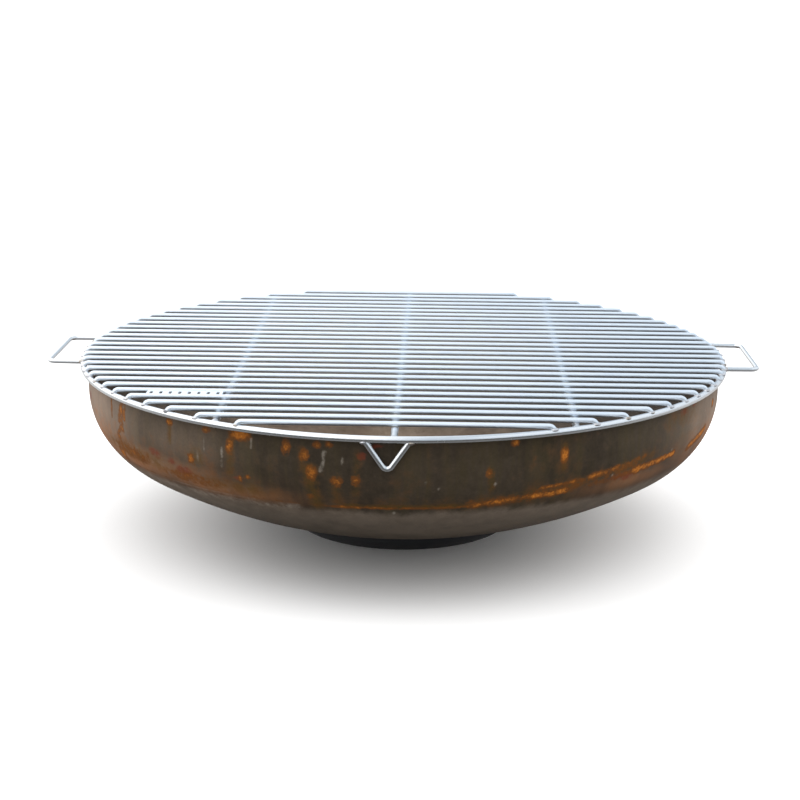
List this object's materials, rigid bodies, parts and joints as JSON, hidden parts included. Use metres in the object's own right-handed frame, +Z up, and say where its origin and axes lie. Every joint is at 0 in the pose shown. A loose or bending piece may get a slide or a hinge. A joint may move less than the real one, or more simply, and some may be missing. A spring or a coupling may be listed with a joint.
{
  "type": "fire pit with grate",
  "caption": "Low dished steel fire bowl on a round foot ring, with a lift-off round rod grate that has two side handles and V-shaped locating lugs.",
  "frame": {"origin": "on the ground under the centre of the bowl, bottom centre of the bounding box", "axes": "+X to the right along the grate bars through both handles, +Y to the back, +Z up; the front lug hangs at -Y"},
  "size_m": [0.8936, 0.8186, 0.2268],
  "materials": {
    "weathered_steel": "raw hot-rolled steel, unevenly rusted, matt to satin",
    "black_coated_steel": "matt black heat-resistant coating",
    "bright_stainless_rod": "bright polished stainless rod"
  },
  "bodies": {
    "foot_ring": {"foot_ring": "black_coated_steel"},
    "bowl": {"bowl": "weathered_steel"},
    "grate": {"grate_ring": "bright_stainless_rod", "cross_rod_left": "bright_stainless_rod", "cross_rod_centre": "bright_stainless_rod", "cross_rod_right": "bright_stainless_rod", "bar_01": "bright_stainless_rod", "bar_02": "bright_stainless_rod", "bar_03": "bright_stainless_rod", "bar_04": "bright_stainless_rod", "bar_05": "bright_stainless_rod", "bar_06": "bright_stainless_rod", "bar_07": "bright_stainless_rod", "bar_08": "bright_stainless_rod", "bar_09": "bright_stainless_rod", "bar_10": "bright_stainless_rod", "bar_11": "bright_stainless_rod", "bar_12": "bright_stainless_rod", "bar_13": "bright_stainless_rod", "bar_14": "bright_stainless_rod", "bar_15": "bright_stainless_rod", "bar_16": "bright_stainless_rod", "bar_17": "bright_stainless_rod", "bar_18": "bright_stainless_rod", "bar_19": "bright_stainless_rod", "bar_20": "bright_stainless_rod", "bar_21": "bright_stainless_rod", "bar_22": "bright_stainless_rod", "bar_23": "bright_stainless_rod", "bar_24": "bright_stainless_rod", "bar_25": "bright_stainless_rod", "bar_26": "bright_stainless_rod", "bar_27": "bright_stainless_rod", "bar_28": "bright_stainless_rod", "bar_29": "bright_stainless_rod", "handle_left": "bright_stainless_rod", "handle_right": "bright_stainless_rod", "locating_lug_front": "bright_stainless_rod", "locating_lug_rear_right": "bright_stainless_rod", "locating_lug_rear_left": "bright_stainless_rod", "slotted_strip": "bright_stainless_rod"}
  },
  "joints": [
    {"name": "bowl_turn", "type": "hinge", "parent": "foot_ring", "child": "bowl", "pos_m": [0, 0, 0.1064], "axis": [0, 0, 1], "continuous": true},
    {"name": "grate_lift", "type": "slide", "parent": "bowl", "child": "grate", "axis": [0, 0, 1], "range_m": [0, 0.3]}
  ]
}
